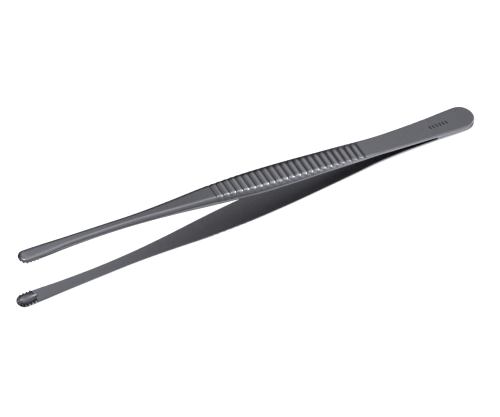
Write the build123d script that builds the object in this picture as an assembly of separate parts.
from build123d import *
import math
import os

# Toothed spring tweezers: two mirrored blades welded at the heel.
# Working frame: X = HEEL_X - s, where s is the distance from the heel's end,
# Z = 0 is the plane halfway between the blades, the upper blade is above it.
# rest() then leans the tool onto its lower blade.

LENGTH = 200.0
HEEL_X = LENGTH / 2

# heel: the two leaves lie together from the end to the slot
HEEL_RADIUS = 5.7
HEEL_THICKNESS = 1.2  # of one leaf, measured from the mid plane
SLOT_START = 19.0
WELD_HALF = 0.1  # half thickness of the weld between the leaves
WELD_INSET = 0.25

# the leaf bends here: the fixed leaf ends and the moving arm starts
HINGE = 36.0
HINGE_GAP = 0.12

# named regions of a moving arm
GRIP_BACK = 50.0
GRIP_FRONT = 119.5
JAW_BACK = 188.0

# finger grip
RIDGES = 23
RIDGE_PITCH = 2.85
FIRST_RIDGE = 53.5
GROOVE_DEPTH = 0.42
GROOVE_RADIUS = 1.0

# jaw
JAW_RADIUS = 3.15
RIM_RADIUS = 2.8  # of the ring of teeth, inside the jaw's bevelled edge
TEETH_ROUND = 6  # round the tip's half circle
TEETH_STRAIGHT = 3  # behind it on each side
TOOTH_PITCH = 1.4
TOOTH_HEIGHT = 0.95
RIM_STRAIGHT = TEETH_STRAIGHT * TOOTH_PITCH
RIM_LEAN = 4.35  # the teeth's plane leans by the closing angle
CUP_LENGTH = 6.6
CUP_WIDTH = 4.0
CUP_DEPTH = 1.0
CUP_CENTRE = 195.5

# the tool leans on the end of its heel and the front of its grip
REST_LEAN = 4.98

# Each row is one station along a blade: distance from the heel's end, half of the
# gap between the blades, blade thickness, half width of the inner face,
# half width of the outer flat, height of the side wall, bevel on the inner edges.
STATIONS = [
    (19.0, 0.53, 0.93, 5.10, 5.00, 0.83, 0.08),
    (26.0, 0.78, 1.02, 4.80, 4.70, 0.92, 0.08),
    (36.0, 1.24, 1.10, 4.50, 4.40, 1.00, 0.08),
    (46.0, 2.08, 1.10, 4.40, 4.25, 1.00, 0.08),
    (56.0, 3.12, 1.25, 4.80, 4.00, 1.00, 0.08),
    (70.0, 4.60, 1.60, 5.20, 4.00, 1.00, 0.08),
    (85.0, 5.90, 2.10, 5.65, 4.00, 1.00, 0.08),
    (100.0, 7.15, 2.50, 5.70, 3.90, 0.95, 0.08),
    (112.0, 8.25, 2.70, 5.25, 3.30, 0.90, 0.08),
    (122.0, 9.15, 2.50, 4.60, 2.85, 0.80, 0.08),
    (135.0, 10.15, 1.95, 3.50, 2.35, 0.60, 0.08),
    (150.0, 11.15, 1.75, 2.60, 1.65, 0.45, 0.08),
    (165.0, 12.05, 1.70, 2.35, 1.20, 0.40, 0.10),
    (180.0, 12.50, 1.80, 2.55, 1.45, 0.40, 0.15),
    (190.0, 12.45, 1.85, 3.00, 1.85, 0.60, 0.45),
    (200.0, 12.50, 1.85, 3.15, 1.95, 0.65, 0.55),
]


def blend(s, column):
    """Smooth value of one column at distance s from the heel's end."""
    last = len(STATIONS) - 2
    i = 0
    while i < last and s > STATIONS[i + 1][0]:
        i += 1

    def slope(k):
        low = max(k - 1, 0)
        high = min(k + 1, len(STATIONS) - 1)
        rise = STATIONS[high][column] - STATIONS[low][column]
        return rise / (STATIONS[high][0] - STATIONS[low][0])

    span = STATIONS[i + 1][0] - STATIONS[i][0]
    t = (s - STATIONS[i][0]) / span
    a = STATIONS[i][column]
    b = STATIONS[i + 1][column]
    return (
        a * (2 * t**3 - 3 * t**2 + 1)
        + slope(i) * span * (t**3 - 2 * t**2 + t)
        + b * (3 * t**2 - 2 * t**3)
        + slope(i + 1) * span * (t**3 - t**2)
    )


def section(s, width=1.0, height=1.0):
    """Cross-section of the upper blade: flat inside, bevelled outside."""
    gap = blend(s, 1)
    thick = blend(s, 2) * height
    inner = blend(s, 3) * width
    outer = blend(s, 4) * width
    wall = blend(s, 5) * height
    plane = Plane(origin=(HEEL_X - s, 0, gap), x_dir=(0, 1, 0), z_dir=(1, 0, 0))
    bevel = blend(s, 6) * width
    corners = [
        (-inner + bevel, 0),
        (inner - bevel, 0),
        (inner, bevel * height),
        (inner, wall),
        (outer, thick),
        (-outer, thick),
        (-inner, wall),
        (-inner, bevel * height),
    ]
    return plane * Polygon(*corners, align=None)


def swept(start, end, count):
    """Smooth blade region between two distances from the heel's end."""
    stations = [start + (end - start) * i / count for i in range(count + 1)]
    return loft([section(s) for s in stations])


def heel_outline(inset=0.0):
    """Plan of the heel: a round end that narrows towards the slot."""
    radius = HEEL_RADIUS - inset
    root = HEEL_X - HEEL_RADIUS
    points = [(HEEL_X - s, blend(s, 3) - inset) for s in (SLOT_START, 27.0, HINGE)]
    far = Spline((root, radius), *points, tangents=[(-1.0, 0.0), (-1.0, -0.01)])
    near = mirror(far, about=Plane.XZ)
    arc = ThreePointArc((root, -radius), (root + radius, 0), (root, radius))
    back_x, back_y = points[-1]
    closing = Line((back_x, back_y), (back_x, -back_y))
    return make_face([arc, far, closing, near])


def heel_leaf():
    """Fixed leaf of the upper blade, from the round end to the bend."""
    end = HINGE - HINGE_GAP / 2
    outer = Spline(
        (HEEL_X - 8, HEEL_THICKNESS),
        (HEEL_X - SLOT_START, blend(SLOT_START, 1) + blend(SLOT_START, 2)),
        (HEEL_X - 26, blend(26, 1) + blend(26, 2)),
        (HEEL_X - end, blend(end, 1) + blend(end, 2)),
    )
    inner = Spline(
        (HEEL_X - SLOT_START, blend(SLOT_START, 1)),
        (HEEL_X - 26, blend(26, 1)),
        (HEEL_X - end, blend(end, 1)),
    )
    slot_end = Line((HEEL_X - SLOT_START, WELD_HALF), inner @ 0)
    rim = Polyline(
        (HEEL_X - SLOT_START, WELD_HALF),
        (HEEL_X + 1, WELD_HALF),
        (HEEL_X + 1, HEEL_THICKNESS),
        (HEEL_X - 8, HEEL_THICKNESS),
    )
    cut_end = Line(outer @ 1, inner @ 1)
    profile = make_face([outer, cut_end, inner, slot_end, rim])
    side = extrude(Plane.XZ * profile, 2 * HEEL_RADIUS, both=True)
    plan = extrude(heel_outline(), 2 * HEEL_RADIUS, both=True)
    return side & plan


def heel_weld():
    """Weld metal between the two heel leaves, just inside their rim."""
    sheet = extrude(heel_outline(WELD_INSET), WELD_HALF, both=True)
    keep = Pos(HEEL_X - SLOT_START / 2, 0, 0) * Box(SLOT_START, 4 * HEEL_RADIUS, 1)
    return sheet & keep


def grip():
    """Finger grip: transverse rounded ridges between shallow round grooves."""
    body = swept(GRIP_BACK, GRIP_FRONT, 9)
    for i in range(RIDGES + 1):
        s = FIRST_RIDGE + (i - 0.5) * RIDGE_PITCH
        top = blend(s, 1) + blend(s, 2)
        centre = (HEEL_X - s, 0, top - GROOVE_DEPTH + GROOVE_RADIUS)
        cutter = Pos(*centre) * Rot(90, 0, 0) * Cylinder(GROOVE_RADIUS, 4 * HEEL_RADIUS)
        body -= cutter
    return body


def jaw_body():
    """Spoon-backed end of the blade, without its hollow and teeth."""
    centre = LENGTH - JAW_RADIUS
    faces = [section(s) for s in (JAW_BACK, 191, 194, centre)]
    for angle in (20, 38, 54, 68, 80):
        turn = math.radians(angle)
        s = centre + JAW_RADIUS * math.sin(turn)
        height = 0.45 + 0.55 * math.cos(turn)
        faces.append(section(s, math.cos(turn), height))
    return loft(faces, ruled=True)


def rim_plane():
    """Plane of the tooth tips: origin above the round end's centre, Z into the jaw."""
    centre = LENGTH - JAW_RADIUS
    lean = math.radians(RIM_LEAN)
    height = blend(LENGTH, 1) - JAW_RADIUS * math.tan(lean)
    return Plane(
        origin=(HEEL_X - centre, 0, height),
        x_dir=(-math.cos(lean), 0, math.sin(lean)),
        z_dir=(math.sin(lean), 0, math.cos(lean)),
    )


def rim():
    """Raised U-shaped rim that carries the teeth, open towards the shank."""
    end = Circle(RIM_RADIUS)
    sides = Pos(-RIM_STRAIGHT / 2, 0) * Rectangle(RIM_STRAIGHT, 2 * RIM_RADIUS)
    return rim_plane() * extrude(end + sides, 1.2) & jaw_envelope()


def jaw_envelope():
    """Block that stops the rim at the jaw's outer thickness."""
    return Pos(HEEL_X - LENGTH + 5, 0, blend(LENGTH, 1)) * Box(20, 20, 2.4)


def tooth_gap():
    """V-shaped cutter that runs outwards across the rim, along its own X."""
    half = TOOTH_PITCH * 0.52
    lift = 0.05
    wedge = Polygon((-half, -lift), (half, -lift), (0, TOOTH_HEIGHT), align=None)
    return extrude(Plane.YZ * wedge, 2 * JAW_RADIUS)


def tooth_gaps():
    """All the cutters round the rim: a fan at the tip and a row on each side."""
    cutters = []
    for i in range(TEETH_ROUND + 1):
        turn = Rot(0, 0, -90 + i * 180 / TEETH_ROUND)
        cutters.append(turn * Pos(CUP_WIDTH / 4, 0, 0) * tooth_gap())
    for side in (-90, 90):
        for i in range(1, TEETH_STRAIGHT + 1):
            along = Pos(-i * TOOTH_PITCH, 0, 0) * Rot(0, 0, side)
            cutters.append(along * Pos(CUP_WIDTH / 4, 0, 0) * tooth_gap())
    return cutters


def jaw():
    """Round toothed jaw with a shallow cup in its inner face."""
    body = jaw_body() + rim()
    place = rim_plane()
    for cutter in tooth_gaps():
        body -= place * cutter
    cup = scale(Sphere(1), by=(CUP_LENGTH / 2, CUP_WIDTH / 2, CUP_DEPTH))
    body -= Pos(HEEL_X - CUP_CENTRE, 0, blend(CUP_CENTRE, 1)) * cup
    return body


def rest(shape):
    """Lean the tool onto its lower blade."""
    return Rot(0, REST_LEAN, 0) * shape


def build():
    """Every piece of the tool, by name, leaning but not yet centred."""
    upper = {
        "upper_heel_leaf": heel_leaf(),
        "upper_spring_leaf": swept(HINGE + HINGE_GAP / 2, GRIP_BACK, 3),
        "upper_grip": grip(),
        "upper_shank": swept(GRIP_FRONT, JAW_BACK, 8),
        "upper_jaw": jaw(),
    }
    pieces = dict(upper)
    for name, shape in upper.items():
        pieces[name.replace("upper", "lower")] = mirror(shape, about=Plane.XY)
    pieces["heel_weld"] = heel_weld()
    return {name: rest(shape) for name, shape in pieces.items()}


def main():
    os.makedirs("parts", exist_ok=True)
    pieces = build()
    boxes = [shape.bounding_box() for shape in pieces.values()]
    low_x = min(box.min.X for box in boxes)
    high_x = max(box.max.X for box in boxes)
    low_z = min(box.min.Z for box in boxes)
    high_z = max(box.max.Z for box in boxes)
    shift = (-(low_x + high_x) / 2, 0, -low_z)
    for name, shape in pieces.items():
        export_step(Pos(*shift) * shape, f"parts/{name}.step")
    for sign in (1, -1):
        middle = sign * (blend(HINGE, 1) + blend(HINGE, 2) / 2)
        pivot = Pos(*shift) * rest(Pos(HEEL_X - HINGE, 0, middle))
        print("hinge", sign, [round(v, 4) for v in pivot.position])
    print("shift", [round(v, 4) for v in shift])
    print("length", round(high_x - low_x, 3), "height", round(high_z - low_z, 3))


main()
